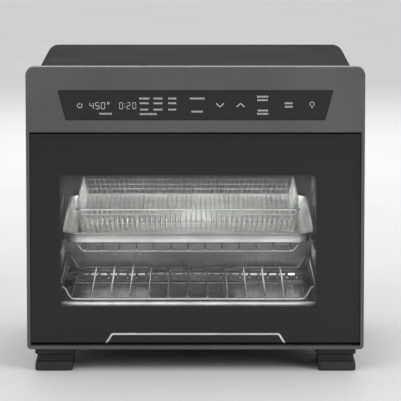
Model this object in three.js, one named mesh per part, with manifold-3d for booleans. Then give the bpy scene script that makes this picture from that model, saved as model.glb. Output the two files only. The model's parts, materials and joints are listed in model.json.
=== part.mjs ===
// Countertop toaster oven with a drop-down glass door, two wire racks, a baking tray with an
// air-fry basket, tubular heaters and a top-mounted convection fan.
// Millimetres, +Z up, front facing -Y, origin on the floor under the middle of the bounding box.
import * as THREE from 'three';
import { mergeVertices } from 'three/addons/utils/BufferGeometryUtils.js';
import Module from 'manifold-3d';

const wasm = await Module();
wasm.setup();

// ---- driving dimensions ----------------------------------------------------------------
const WIDTH = 400;
const DEPTH = 380;
const HEIGHT = 363.2;
const HALF = WIDTH / 2;
const FRONT = -DEPTH / 2;
const GAP = 0.3; // clearance kept between neighbouring pieces
const SHEET = 1.2; // formed sheet steel

const BEZEL = { bottom: 26.6, depth: 19, topRadius: 10, bottomRadius: 5, border: 4, face: 4,
  lip: 1.6, throat: 187.2 };
const DOORWAY = { half: HALF - BEZEL.border, bottom: BEZEL.bottom + BEZEL.border, top: 286 };
const SCREEN = { top: 336, bottom: 300.2, topHalf: 162.6, bottomHalf: 152.9, recess: 1.8 };

const WRAP = { half: 190, top: 360.6, radius: 15, front: FRONT + BEZEL.depth + GAP, back: 168 };
const BACK = { front: WRAP.back + GAP, rear: WRAP.back + GAP + 1.5 };
const BASE = { bottom: BEZEL.bottom + GAP, flange: 12 };

const FRAME = { front: -162, back: -160.5 };
const CAVITY = { left: -167, right: 149, front: FRAME.back + GAP, back: 155, floor: 58, top: 272 };
const CAVITY_MID = (CAVITY.left + CAVITY.right) / 2;

const DOOR = { face: FRONT + 6, half: 195.5, bottom: 31.1, top: 284.5, skin: 2, rear: -173.2 };
const HINGE = { y: DOOR.face + 5, z: 37, pin: 2, bead: 37 - DOOR.bottom };
const WINDOW = { left: -160, right: 142.6, bottom: 76.9, top: 233.7, radius: 5 };
const PANE = { front: DOOR.face + DOOR.skin + GAP, thick: 3, lap: 10 };
const LINER = { front: PANE.front + PANE.thick + GAP, back: -168, half: 186 };
const INNER_GLASS = { front: LINER.back + GAP, back: -164.7 };

const WIRE = 1.4; // half the thickness of a rack wire
const LOWER_RACK = { deck: 80.4, side: 95, flatHalf: 140.5, rise: 8, reach: 154, front: -145,
  back: 115, pitch: 23.3, wires: 11, sidesApart: true };
const UPPER_RACK = { deck: 138.7, side: 144.3, flatHalf: 126, rise: 6, reach: 154, front: -145,
  back: 125, pitch: 20.6, wires: 13, stop: 12.6, sidesApart: false };
const COOKWARE_TILT = 2 * (Math.PI / 180); // the tray's rear rests on the rack's upturned end
const TRAY = { bottom: 146.6, top: 160.3, half: 151.5, front: -145, back: 140, wall: 1.2, lip: 4.5 };
const BASKET = { bottom: 163, top: 186, half: 136, front: -125, back: 150, wall: 1.6 };
const CRUMB = { left: -155, right: 137, front: -150, bottom: 58.5, lip: 64.5 };

const HEATERS = [
  ['heater_lower_front', -115, 70], ['heater_lower_rear', 143, 69.2],
  ['heater_upper_front', -110, 246], ['heater_upper_rear', 110, 246],
];
const HEATER_RADIUS = 4;
// A perforated guard before the lower rear heater. Its skirt stops short of the crumb tray's lips.
const VENT_STRIP = { y: 128.8, top: 72, skirt: 60.8, ears: 66.2 };
const FAN = { x: CAVITY_MID, y: 0, shaft: 3, radius: 60, cover: 76 };
const LAMP = { y: 60, z: 205 };
const SWITCH = { x: 170, z: 275 };
const GLAND = { x: 165, z: 48 };
const FOOT = { inner: 146, outer: 191, pad: 11, length: 78 };

// ---- materials -------------------------------------------------------------------------
const finish = (color, roughness, metalness = 0) =>
  new THREE.MeshStandardMaterial({ color, roughness, metalness });
const BEZEL_GREY = finish(0x56595a, 0.45);
const WRAP_GREY = finish(0x484848, 0.5, 0.3);
const DOOR_BLACK = finish(0x2f3031, 0.3);
const PLASTIC = finish(0x2a2a2b, 0.55);
const RUBBER = finish(0x303030, 0.85);
const GLASS = finish(0x1c1e20, 0.08);
const STEEL = finish(0x9a9a98, 0.35, 1);
const CAVITY_STEEL = finish(0x8b8b89, 0.4, 1);
const BRIGHT = finish(0xd8d8d6, 0.2, 1);
const TRAY_STEEL = finish(0xb4b3b0, 0.35, 1);
const BOARD = finish(0x2c5a3a, 0.6);

// ---- geometry helpers ------------------------------------------------------------------
function box(x0, x1, y0, y1, z0, z1) {
  const geometry = new THREE.BoxGeometry(Math.abs(x1 - x0), Math.abs(y1 - y0), Math.abs(z1 - z0));
  return geometry.translate((x0 + x1) / 2, (y0 + y1) / 2, (z0 + z1) / 2);
}

function polygon(points) {
  return new THREE.Shape(points.map(([u, v]) => new THREE.Vector2(u, v)));
}

// Rounded rectangle; the lower and upper corners can have different radii.
function roundedRect(u0, u1, v0, v1, lower, upper = lower) {
  const shape = new THREE.Shape();
  shape.moveTo(u0 + lower, v0);
  shape.lineTo(u1 - lower, v0);
  shape.absarc(u1 - lower, v0 + lower, lower, -Math.PI / 2, 0, false);
  shape.lineTo(u1, v1 - upper);
  shape.absarc(u1 - upper, v1 - upper, upper, 0, Math.PI / 2, false);
  shape.lineTo(u0 + upper, v1);
  shape.absarc(u0 + upper, v1 - upper, upper, Math.PI / 2, Math.PI, false);
  shape.lineTo(u0, v0 + lower);
  shape.absarc(u0 + lower, v0 + lower, lower, Math.PI, 1.5 * Math.PI, false);
  return shape;
}

function extrude(shape, depth, curveSegments = 4) {
  return new THREE.ExtrudeGeometry(shape, { depth, bevelEnabled: false, curveSegments });
}

// A shape drawn in (y, z), swept along X.
function alongX(shape, x0, x1, segments) {
  const basis = new THREE.Matrix4().makeBasis(
    new THREE.Vector3(0, 1, 0), new THREE.Vector3(0, 0, 1), new THREE.Vector3(1, 0, 0));
  return extrude(shape, x1 - x0, segments).applyMatrix4(basis).translate(x0, 0, 0);
}

// A shape drawn in (x, z), swept along Y.
function alongY(shape, y0, y1, segments) {
  return extrude(shape, y1 - y0, segments).rotateX(Math.PI / 2).translate(0, y1, 0);
}

// A shape drawn in (x, y), swept along Z.
function alongZ(shape, z0, z1, segments) {
  return extrude(shape, z1 - z0, segments).translate(0, 0, z0);
}

function rodX(y, z, radius, x0, x1, sides = 16) {
  const rod = new THREE.CylinderGeometry(radius, radius, Math.abs(x1 - x0), sides);
  return rod.rotateZ(Math.PI / 2).translate((x0 + x1) / 2, y, z);
}

function rodY(x, z, radius, y0, y1, sides = 16) {
  const rod = new THREE.CylinderGeometry(radius, radius, Math.abs(y1 - y0), sides);
  return rod.translate(x, (y0 + y1) / 2, z);
}

function rodZ(x, y, radius, z0, z1, sides = 16) {
  const rod = new THREE.CylinderGeometry(radius, radius, Math.abs(z1 - z0), sides);
  return rod.rotateX(Math.PI / 2).translate(x, y, (z0 + z1) / 2);
}

// A strip of constant half-width that follows a line of points.
function band(points, halfWidth) {
  const line = points.map(([u, v]) => new THREE.Vector2(u, v));
  const offsets = line.map((_, i) => {
    const along = line[Math.min(i + 1, line.length - 1)].clone().sub(line[Math.max(i - 1, 0)]);
    return new THREE.Vector2(-along.y, along.x).setLength(halfWidth);
  });
  const upper = line.map((point, i) => point.clone().add(offsets[i]));
  const lower = line.map((point, i) => point.clone().sub(offsets[i])).reverse();
  return new THREE.Shape([...upper, ...lower]);
}

function toSolid(geometry) {
  const bare = geometry.clone();
  bare.deleteAttribute('normal');
  bare.deleteAttribute('uv');
  const merged = mergeVertices(bare, 1e-4);
  return new wasm.Manifold(new wasm.Mesh({
    numProp: 3,
    vertProperties: new Float32Array(merged.attributes.position.array),
    triVerts: new Uint32Array(merged.index.array),
  }));
}

function toGeometry(solid) {
  const { vertProperties, triVerts } = solid.getMesh();
  const geometry = new THREE.BufferGeometry();
  geometry.setAttribute('position', new THREE.BufferAttribute(vertProperties, 3));
  geometry.setIndex(new THREE.BufferAttribute(triVerts, 1));
  geometry.computeVertexNormals();
  return geometry;
}

function join(pieces) {
  return toGeometry(pieces.map(toSolid).reduce((whole, piece) => whole.add(piece)));
}

function cut(body, tools) {
  return toGeometry(tools.map(toSolid).reduce((whole, tool) => whole.subtract(tool), toSolid(body)));
}

// ---- scene graph -----------------------------------------------------------------------
const oven = new THREE.Group();
const SIDES = [['left', -1], ['right', 1]];

function add(name, geometry, material, parent = oven) {
  const mesh = new THREE.Mesh(geometry, material);
  mesh.name = name;
  parent.add(mesh);
}

// ---- housing ---------------------------------------------------------------------------
function screenOutline(grow) {
  return polygon([
    [-SCREEN.bottomHalf - grow, SCREEN.bottom - grow], [SCREEN.bottomHalf + grow, SCREEN.bottom - grow],
    [SCREEN.topHalf + grow, SCREEN.top + grow], [-SCREEN.topHalf - grow, SCREEN.top + grow],
  ]);
}

function frontBezel() {
  const back = FRONT + BEZEL.depth;
  const block = alongY(roundedRect(-HALF, HALF, BEZEL.bottom, HEIGHT,
    BEZEL.bottomRadius, BEZEL.topRadius), FRONT, back);
  const wall = 6;
  const pocket = box(-HALF + wall, HALF - wall, FRONT + BEZEL.face, back + 1,
    DOORWAY.top + BEZEL.border, HEIGHT - wall);
  const doorway = box(-DOORWAY.half, DOORWAY.half, FRONT - 1, back - BEZEL.lip, DOORWAY.bottom, DOORWAY.top);
  const throat = box(-BEZEL.throat, BEZEL.throat, FRONT, back + 1, DOORWAY.bottom, DOORWAY.top);
  const screen = alongY(screenOutline(0), FRONT - 1, FRONT + BEZEL.face + 1);
  const sockets = SIDES.map(([, side]) =>
    rodX(HINGE.y, HINGE.z, HINGE.pin + GAP, side * (DOORWAY.half - 1), side * (HALF - 0.8)));
  add('front_bezel', cut(block, [pocket, doorway, throat, screen, ...sockets]), BEZEL_GREY);
}

function outerWrap() {
  const { half, top, radius, front, back } = WRAP;
  const outer = alongY(roundedRect(-half, half, BASE.bottom - 40, top, 1, radius), front, back);
  const inner = alongY(roundedRect(-half + SHEET, half - SHEET, BASE.bottom - 60, top - SHEET,
    1, radius - SHEET), front - 1, back + 1);
  const below = box(-half - 1, half + 1, front - 1, back + 1, BASE.bottom - 80, BASE.bottom);
  const louvres = [];
  for (const [, side] of SIDES) {
    for (let i = 0; i < 8; i += 1) {
      const y = 40 + i * 12;
      louvres.push(box(side * (half - 3), side * (half + 3), y, y + 4, 292, 332));
    }
  }
  add('outer_wrap', cut(outer, [inner, below, ...louvres]), WRAP_GREY);
}

function backPanel() {
  const plate = alongY(roundedRect(-WRAP.half, WRAP.half, BASE.bottom, WRAP.top, 3, WRAP.radius),
    BACK.front, BACK.rear);
  const through = [BACK.front - 1, BACK.rear + 1];
  const louvres = [];
  for (const x of [-90, 90]) {
    for (let i = 0; i < 9; i += 1) {
      louvres.push(box(x - 32, x + 32, ...through, 214 + i * 12, 218 + i * 12));
    }
  }
  const crumbSlot = box(CRUMB.left - 3, CRUMB.right + 3, ...through, CRUMB.bottom - 0.5, CRUMB.lip + 2);
  const cordHole = rodY(GLAND.x, GLAND.z, 6.5, ...through);
  add('back_panel', cut(plate, [crumbSlot, cordHole, ...louvres]), WRAP_GREY);
}

function basePan() {
  const half = WRAP.half - SHEET - GAP;
  const { bottom, flange } = BASE;
  const profile = polygon([
    [-half, bottom], [half, bottom], [half, bottom + flange], [half - SHEET, bottom + flange],
    [half - SHEET, bottom + SHEET], [-half + SHEET, bottom + SHEET],
    [-half + SHEET, bottom + flange], [-half, bottom + flange],
  ]);
  const vents = [];
  for (let i = 0; i < 10; i += 1) {
    const x = CAVITY_MID + (i - 4.5) * 22;
    vents.push(box(x - 2, x + 2, 20, 70, bottom - 1, bottom + SHEET + 1));
  }
  add('base_pan', cut(alongY(profile, WRAP.front, WRAP.back), vents), WRAP_GREY);
}

function faceFrame() {
  const half = WRAP.half - SHEET - GAP - SHEET - GAP;
  const bottom = BASE.bottom + SHEET + GAP;
  const plate = box(-half, half, FRAME.front, FRAME.back, bottom, HEIGHT - 12);
  const through = [FRAME.front - 1, FRAME.back + 1];
  const mouth = box(CAVITY.left, CAVITY.right, ...through, CAVITY.floor, CAVITY.top);
  const wiring = box(-120, 120, ...through, 300, 336);
  const plungerHole = rodY(SWITCH.x, SWITCH.z, 2.8, ...through);
  add('face_frame', cut(plate, [mouth, wiring, plungerHole]), STEEL);
}

function feet() {
  const { inner, outer, pad, length } = FOOT;
  const top = BASE.bottom - GAP * 2;
  const starts = [['front', FRONT + 3], ['rear', WRAP.back - length - 6]];
  for (const [end, y0] of starts) {
    for (const [name, side] of SIDES) {
      const sole = roundedRect(Math.min(side * inner, side * outer), Math.max(side * inner, side * outer),
        0, pad, 2.5, 0.6);
      add(`foot_pad_${end}_${name}`, alongY(sole, y0, y0 + length), RUBBER);
      const block = polygon([
        [side * (inner + 2), pad + GAP], [side * (outer - 2), pad + GAP], [side * (outer - 2), 19],
        [side * outer, 20], [side * outer, top], [side * (inner - 3), top], [side * (inner - 2), 20],
        [side * (inner + 2), 19],
      ]);
      add(`foot_block_${end}_${name}`, alongY(block, y0, y0 + length), PLASTIC);
    }
  }
}

function rearFittings() {
  for (const [name, side] of SIDES) {
    const stem = rodY(side * 140, 300, 9, BACK.rear + GAP, DEPTH / 2 - 4);
    const cap = rodY(side * 140, 300, 14, DEPTH / 2 - 5, DEPTH / 2);
    add(`rear_bumper_${name}`, join([stem, cap]), RUBBER);
  }
  const flange = rodY(GLAND.x, GLAND.z, 11, BACK.rear + GAP, BACK.rear + 3.5);
  const nozzle = rodY(GLAND.x, GLAND.z, 6, BACK.front - 4, BACK.rear + 12);
  const bore = rodY(GLAND.x, GLAND.z, 3.6, BACK.front - 6, BACK.rear + 14);
  add('cord_gland', cut(join([flange, nozzle]), [bore]), PLASTIC);
}

// ---- controls --------------------------------------------------------------------------
function controls() {
  const front = FRONT + SCREEN.recess;
  const back = FRONT + BEZEL.face;
  const lens = alongY(screenOutline(-0.4), front, back + 1);
  const flange = alongY(screenOutline(4), back + GAP, back + 2);
  add('control_glass', join([lens, flange]), GLASS);
  const boardFront = back + 2 + GAP;
  const board = box(-150, 150, boardFront, boardFront + 1.6, 303, 333);
  const ribbon = box(-20, 20, boardFront + 1, boardFront + 6, 312, 322);
  add('control_board', join([board, ribbon]), BOARD);
  const panel = box(158, 159.6, -110, 34, 110, 250);
  const transformer = box(159, 181, -100, -60, 120, 160);
  const relays = [0, 1, 2].map((i) => box(159, 175, -46 + i * 26, -26 + i * 26, 125, 150));
  const capacitor = rodX(-75, 205, 11, 159, 180);
  add('power_board', join([panel, transformer, capacitor, ...relays]), BOARD);
}

function doorSwitch() {
  const { x, z } = SWITCH;
  const body = box(x - 7, x + 7, FRAME.back + GAP, FRAME.back + 17, z - 7, z + 7);
  const hole = rodY(x, z, 2.4, FRAME.back - 1, FRAME.back + 15);
  add('door_switch_body', cut(body, [hole]), PLASTIC);
  const stem = rodY(x, z, 2, LINER.back + GAP, FRAME.back + 11);
  add('switch_plunger', stem, PLASTIC);
}

// ---- cavity ----------------------------------------------------------------------------
function cavityWalls() {
  const { left, right, front, back, floor, top } = CAVITY;
  add('cavity_floor', box(left - 1, right + 1, front, back, floor - 1, floor), CAVITY_STEEL);
  const shaftHole = rodZ(FAN.x, FAN.y, 6, top, top + 2);
  add('cavity_ceiling', cut(box(left - 1, right + 1, front, back, top + GAP, top + GAP + 1),
    [shaftHole]), CAVITY_STEEL);
  const heaterHoles = (x) => HEATERS.map(([, y, z]) => rodX(y, z, HEATER_RADIUS + 0.4, x - 3, x + 3));
  const z0 = floor + GAP;
  add('cavity_wall_left', cut(box(left - 1, left, front, back, z0, top),
    heaterHoles(left)), CAVITY_STEEL);
  const lampHole = rodX(LAMP.y, LAMP.z, 15, right - 3, right + 3, 20);
  add('cavity_wall_right', cut(box(right, right + 1, front, back, z0, top),
    [lampHole, ...heaterHoles(right)]), CAVITY_STEEL);
  const slot = box(CRUMB.left - 3, CRUMB.right + 3, back - 1, back + 3, CRUMB.bottom - 0.4, CRUMB.lip + 2);
  add('cavity_wall_rear', cut(box(left - 1, right + 1, back + GAP, back + GAP + 1,
    floor - 1, top + 1), [slot]), CAVITY_STEEL);
}

function cavityTrim() {
  const { left, right, front, back, floor, top } = CAVITY;
  const ring = alongY(roundedRect(left - 6, right + 6, floor - 5, top + 5, 8), FRAME.front - 2.4,
    FRAME.front - GAP);
  const hole = box(left + 1, right - 1, FRAME.front - 5, FRAME.front + 1, floor + 1, top - 1);
  add('door_gasket', cut(ring, [hole]), RUBBER);
  const { y, top: stripTop, skirt, ears } = VENT_STRIP;
  const strip = [
    box(left + GAP, right - GAP, y, y + SHEET, ears, stripTop),
    box(CRUMB.left + 3, CRUMB.right - 3, y, y + SHEET, skirt, ears + 1),
    box(left + GAP, right - GAP, y, y + 6, stripTop - SHEET, stripTop),
  ];
  const slots = [];
  for (let i = 0; i < 25; i += 1) {
    const x = CAVITY_MID + (i - 12) * 12;
    slots.push(box(x - 4.5, x + 4.5, y - 1, y + SHEET + 1, 67.4, 70.2));
  }
  add('rear_vent_strip', cut(join(strip), slots), CAVITY_STEEL);
  for (const [name, side] of SIDES) {
    const wall = side < 0 ? left : right;
    const inward = -side;
    const at = (u) => wall + inward * u;
    const strip = box(at(GAP), at(1.3), front + 6, back - 6, 82, 182);
    const ledges = [LOWER_RACK, UPPER_RACK].map(({ side: level }) =>
      box(at(0.6), at(7.5), front + 6, back - 6, level - 3.4, level - 2));
    add(`rack_rail_${name}`, join([strip, ...ledges]), STEEL);
  }
}

function heaters() {
  for (const [name, y, z] of HEATERS) {
    const tube = rodX(y, z, HEATER_RADIUS, CAVITY.left - 7, CAVITY.right + 7, 12);
    const collars = SIDES.map(([, side]) => {
      const wall = side < 0 ? CAVITY.left : CAVITY.right;
      return rodX(y, z, 7.5, wall - side * GAP, wall - side * 4, 12);
    });
    add(name, join([tube, ...collars]), STEEL);
  }
}

function lampAndProbe() {
  const { y, z } = LAMP;
  const { left, right } = CAVITY;
  add('lamp_lens', rodX(y, z, 19, right - 4, right - GAP, 24), GLASS);
  const can = rodX(y, z, 17, right + 1 + GAP, right + 24, 24);
  const hollow = rodX(y, z, 15, right, right + 22, 24);
  add('lamp_housing', cut(can, [hollow]), STEEL);
  const flange = rodX(110, 225, 6, left + GAP, left + 2.5, 12);
  const bulb = rodX(110, 225, 2.2, left + 1, left + 18, 10);
  add('temperature_probe', join([flange, bulb]), STEEL);
}

// ---- convection drive ------------------------------------------------------------------
function blades(count, inner, outer, z0, z1, thick, pitch) {
  return Array.from({ length: count }, (_, i) => {
    const blade = box(inner, outer, -thick / 2, thick / 2, z0, z1);
    const middle = (z0 + z1) / 2;
    blade.translate(0, 0, -middle).rotateX(pitch).translate(0, 0, middle);
    return blade.rotateZ((2 * Math.PI * i) / count).translate(FAN.x, FAN.y, 0);
  });
}

function fanDrive() {
  const { x, y, shaft, radius, cover } = FAN;
  const bore = rodZ(x, y, shaft + GAP, 250, 350);
  const disc = rodZ(x, y, radius, 262, 263.2, 32);
  const hub = rodZ(x, y, 9, 262, 270);
  add('convection_fan', cut(join([disc, hub, ...blades(10, 26, radius - 1, 263, 269, 1.2, 0)]),
    [bore]), STEEL);
  add('fan_shaft', rodZ(x, y, shaft, 261, 344, 12), STEEL);
  const coolHub = rodZ(x, y, 9, 329, 341);
  const vanes = blades(7, 7, 40, 330, 340, 1.6, 0.7);
  add('cooling_fan', cut(join([coolHub, ...vanes]), [bore]), PLASTIC);
  const can = rodZ(x, y, 30, 286, 322, 24);
  const endBells = [rodZ(x, y, 14, 284.3, 326)];
  add('fan_motor', cut(join([can, ...endBells]), [rodZ(x, y, shaft + 0.5, 280, 330)]), STEEL);
  const legs = [-52, 52].map((dx) => box(x + dx - 4, x + dx + 4, y - 14, y + 14,
    CAVITY.top + 1 + 2 * GAP, 283));
  const bridge = box(x - 56, x + 56, y - 14, y + 14, 281.8, 284);
  add('motor_bracket', cut(join([bridge, ...legs]), [rodZ(x, y, 6, 270, 290)]), STEEL);
  const dish = rodZ(x, y, cover, 257, CAVITY.top, 32);
  const inside = rodZ(x, y, cover - 1.2, 258.2, CAVITY.top + 2, 32);
  const slots = [];
  for (let i = 0; i < 12; i += 1) {
    const slot = box(24, 62, -3, 3, 250, 260).rotateZ((Math.PI * i) / 6);
    slots.push(slot.translate(x, y, 0));
  }
  add('fan_cover', cut(dish, [inside, ...slots]), CAVITY_STEEL);
}

// ---- door ------------------------------------------------------------------------------
function windowShape(grow) {
  return roundedRect(WINDOW.left - grow, WINDOW.right + grow, WINDOW.bottom - grow,
    WINDOW.top + grow, WINDOW.radius);
}

// The skin's section: a flat face, a top return and a foot rounded about the hinge axis.
function doorSection() {
  const { face, top, skin, rear } = DOOR;
  const { y, z, bead } = HINGE;
  const section = new THREE.Shape();
  section.moveTo(face, top);
  section.lineTo(face, z - Math.sqrt(bead ** 2 - (y - face) ** 2));
  const start = Math.atan2(-Math.sqrt(bead ** 2 - (y - face) ** 2), face - y);
  section.absarc(y, z, bead, start, Math.PI / 2, false);
  section.lineTo(face + skin, z + bead);
  section.lineTo(face + skin, top - skin);
  section.lineTo(rear, top - skin);
  section.lineTo(rear, top);
  return section;
}

function doorPanel() {
  const { face, half, top, skin, rear } = DOOR;
  const skinSheet = alongX(doorSection(), -half, half, 10);
  const returns = SIDES.map(([, side]) =>
    box(side * (half - skin), side * half, face + 1, rear, HINGE.z, top - 1));
  const opening = alongY(windowShape(0), face - 1, face + skin + 1);
  const pins = SIDES.map(([, side]) =>
    rodX(HINGE.y, HINGE.z, HINGE.pin + GAP, side * (half - 6), side * (half + 1)));
  add('door_panel', cut(join([skinSheet, ...returns]), [opening, ...pins]), DOOR_BLACK);
  for (const [name, side] of SIDES) {
    const pin = rodX(HINGE.y, HINGE.z, HINGE.pin, side * (half - 5.7), side * (HALF - 1.1), 12);
    add(`hinge_pin_${name}`, pin, STEEL);
  }
}

function doorGlazing() {
  const { front, thick, lap } = PANE;
  add('door_window', alongY(windowShape(lap), front, front + thick), GLASS);
  const inner = roundedRect(CAVITY.left - 8, CAVITY.right + 8, 52, 276, 4);
  add('door_inner_glass', alongY(inner, INNER_GLASS.front, INNER_GLASS.back), GLASS);
}

function doorLiner() {
  const [bottom, top] = [45, DOOR.top - DOOR.skin - GAP];
  const { front, back, half } = LINER;
  const block = box(-half, half, front, back, bottom, top);
  const opening = alongY(windowShape(2), front - 1, back + 1);
  const channel = cut(box(-half + SHEET, half - SHEET, front - 1, back - SHEET,
    bottom + SHEET, top - SHEET), [alongY(windowShape(2 + SHEET), front - 2, back)]);
  add('door_liner', cut(block, [opening, channel]), STEEL);
}

function doorFittings() {
  const { face, top } = DOOR;
  const lip = polygon([
    [FRONT, top - 3.7], [FRONT + 1.8, top - 3.7], [FRONT + 1.8, top - 2.2], [face - GAP, top - 2.2],
    [face - GAP, top - 0.2], [FRONT, top - 0.2],
  ]);
  add('door_grip', alongX(lip, -DOOR.half + 1, DOOR.half - 1), PLASTIC);
  const trimTop = 45.1;
  const trimFoot = 35.6; // above it the outline clears the doorway's sill as the door swings
  const stroke = 2;
  const slant = (trimTop - trimFoot) * 0.62;
  const half = 98.6;
  const outline = polygon([
    [-half - slant, trimFoot], [-half - slant + stroke * 1.2, trimFoot],
    [-half + stroke * 0.6, trimTop - stroke], [half - stroke * 0.6, trimTop - stroke],
    [half + slant - stroke * 1.2, trimFoot], [half + slant, trimFoot], [half + 0.6, trimTop - 1],
    [half - 1, trimTop], [-half + 1, trimTop], [-half - 0.6, trimTop - 1],
  ]);
  add('trim_outline', alongY(outline, face - GAP - 0.6, face - GAP), BRIGHT);
}

// ---- racks, tray, basket ---------------------------------------------------------------
// The deck is one flat welded grid. Each side rod lies on the rack rail and is welded to three
// risers. The lower rack's sides are deep, so they are weldments apart from the deck. The upper
// rack's are part of it, and an upright stop stands along its rear edge.
function wireRack(name, rack) {
  const { deck, side, flatHalf, rise, reach, front, back, pitch, wires, stop, sidesApart } = rack;
  const at = (u) => CAVITY_MID + u;
  const rod = WIRE + 0.1;
  const lastCross = back - 8;
  const crossings = [front, (front + lastCross) / 2, lastCross];
  const columns = Array.from({ length: wires }, (_, i) => at((i - (wires - 1) / 2) * pitch));
  const level = deck + 1.6 * WIRE;

  const flat = flatHalf - (sidesApart ? GAP : -WIRE);
  const pieces = [
    ...crossings.map((y) => box(at(-flat), at(flat), y - WIRE, y + WIRE, deck - WIRE, deck + WIRE)),
    ...columns.map((x) => box(x - WIRE, x + WIRE, front - 2, back - GAP, level - WIRE, level + WIRE)),
  ];
  for (const [label, sign] of SIDES) {
    const riser = band([
      [at(sign * (flatHalf + WIRE)), deck], [at(sign * (flatHalf + rise)), side - 0.6], [at(sign * reach), side],
    ], WIRE);
    const [x0, x1] = [at(sign * reach) - rod, at(sign * reach) + rod];
    const rail = box(x0, x1, front - 3, back + 3, side - rod, side + rod);
    const weldment = [rail, ...crossings.map((y) => alongY(riser, y - WIRE, y + WIRE))];
    if (sidesApart) add(`${name}_side_${label}`, join(weldment), BRIGHT);
    else pieces.push(...weldment);
  }
  add(name, join(pieces), BRIGHT);

  if (stop) {
    const top = level + stop;
    const fence = [
      box(columns[0] - 4, columns[wires - 1] + 4, back, back + 2 * rod, top - rod, top + rod),
      ...columns.map((x) => box(x - WIRE, x + WIRE, back, back + 2 * WIRE, level - WIRE, top)),
    ];
    add(`${name}_stop`, join(fence), BRIGHT);
  }
}

function openBox(x0, x1, y0, y1, z0, z1, wall, radius) {
  const outer = alongZ(roundedRect(x0, x1, y0, y1, radius), z0, z1);
  const inner = alongZ(roundedRect(x0 + wall, x1 - wall, y0 + wall, y1 - wall, radius - wall),
    z0 + wall, z1 + 1);
  return cut(outer, [inner]);
}

// The tray and the basket in it lean back together about the tray's front lower edge.
function cookware() {
  const { half, front, back, bottom, top, wall, lip } = TRAY;
  const leaning = new THREE.Group();
  leaning.position.set(0, front, bottom);
  leaning.rotation.x = COOKWARE_TILT;
  oven.add(leaning);
  const place = (name, geometry, material) =>
    add(name, geometry.translate(0, -front, -bottom), material, leaning);
  const [x0, x1] = [CAVITY_MID - half, CAVITY_MID + half];
  const tub = openBox(x0 + lip, x1 - lip, front + lip, back - lip, bottom, top, wall, 14);
  const rim = cut(alongZ(roundedRect(x0, x1, front, back, 16), top - 1.4, top),
    [alongZ(roundedRect(x0 + lip + 0.4, x1 - lip - 0.4, front + lip + 0.4, back - lip - 0.4, 13),
      top - 3, top + 1)]);
  place('baking_tray', join([tub, rim]), TRAY_STEEL);

  const b = BASKET;
  const [left, right] = [CAVITY_MID - b.half, CAVITY_MID + b.half];
  const shell = openBox(left, right, b.front, b.back, b.bottom, b.top, b.wall, 14);
  const legs = [];
  for (const x of [left + 30, right - 30]) {
    for (const y of [b.front + 30, back - 35]) {
      legs.push(rodZ(x, y, 3, bottom + wall + GAP, b.bottom + 1, 8));
    }
  }
  place('air_fry_basket', join([shell, ...legs]), BRIGHT);
}

function crumbTray() {
  const { left, right, front, bottom, lip } = CRUMB;
  const rear = BACK.rear + 1;
  const plate = box(left, right, front, rear, bottom, bottom + 1.4);
  const edges = [
    box(left, left + 1.2, front, BACK.rear, bottom, lip), box(right - 1.2, right, front, BACK.rear, bottom, lip),
    box(left, right, front, front + 1.2, bottom, lip),
  ];
  const grip = box(left - 4, right + 4, BACK.rear + GAP, BACK.rear + 2.5, bottom - 4, lip + 7);
  const pull = box(left - 4, right + 4, BACK.rear + 1, BACK.rear + 12, lip + 4, lip + 7);
  add('crumb_tray', join([plate, grip, pull, ...edges]), TRAY_STEEL);
}

frontBezel();
outerWrap();
backPanel();
basePan();
faceFrame();
feet();
rearFittings();
controls();
doorSwitch();
cavityWalls();
cavityTrim();
heaters();
lampAndProbe();
fanDrive();
doorPanel();
doorGlazing();
doorLiner();
doorFittings();
wireRack('lower_rack', LOWER_RACK);
wireRack('upper_rack', UPPER_RACK);
cookware();
crumbTray();

export default oven;
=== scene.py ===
"""Looks for the countertop toaster oven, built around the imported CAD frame.

Metres, +Z up, front facing -Y. Sizes below are in millimetres and are turned into metres on use.
"""
import json
from math import atan2, cos, pi, radians, sin, sqrt, tan

import bmesh
import bpy
from mathutils import Matrix, Vector


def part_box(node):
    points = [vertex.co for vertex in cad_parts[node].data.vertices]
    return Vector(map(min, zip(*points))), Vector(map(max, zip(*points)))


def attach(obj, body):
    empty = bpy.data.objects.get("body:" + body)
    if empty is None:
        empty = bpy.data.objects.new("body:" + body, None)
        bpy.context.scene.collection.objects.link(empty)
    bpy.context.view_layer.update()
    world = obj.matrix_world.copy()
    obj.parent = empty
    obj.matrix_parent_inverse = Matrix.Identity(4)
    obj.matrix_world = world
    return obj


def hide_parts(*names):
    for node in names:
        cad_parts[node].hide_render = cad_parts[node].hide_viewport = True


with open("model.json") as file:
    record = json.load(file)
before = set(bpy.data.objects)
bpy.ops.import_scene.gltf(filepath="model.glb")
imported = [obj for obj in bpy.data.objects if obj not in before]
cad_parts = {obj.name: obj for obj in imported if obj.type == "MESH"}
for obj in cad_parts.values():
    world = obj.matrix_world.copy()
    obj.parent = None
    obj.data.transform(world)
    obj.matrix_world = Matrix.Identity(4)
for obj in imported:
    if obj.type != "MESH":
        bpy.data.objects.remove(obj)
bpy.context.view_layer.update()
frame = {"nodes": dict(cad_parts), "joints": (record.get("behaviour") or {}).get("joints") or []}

MM = 0.001
SIDES = {"left": -1, "right": 1}


def link(holder):
    bpy.context.scene.collection.objects.link(holder)


# -- shapes
def corners(node):
    """A CAD node's lowest and highest corners in millimetres."""
    low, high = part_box(node)
    return low / MM, high / MM


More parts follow.
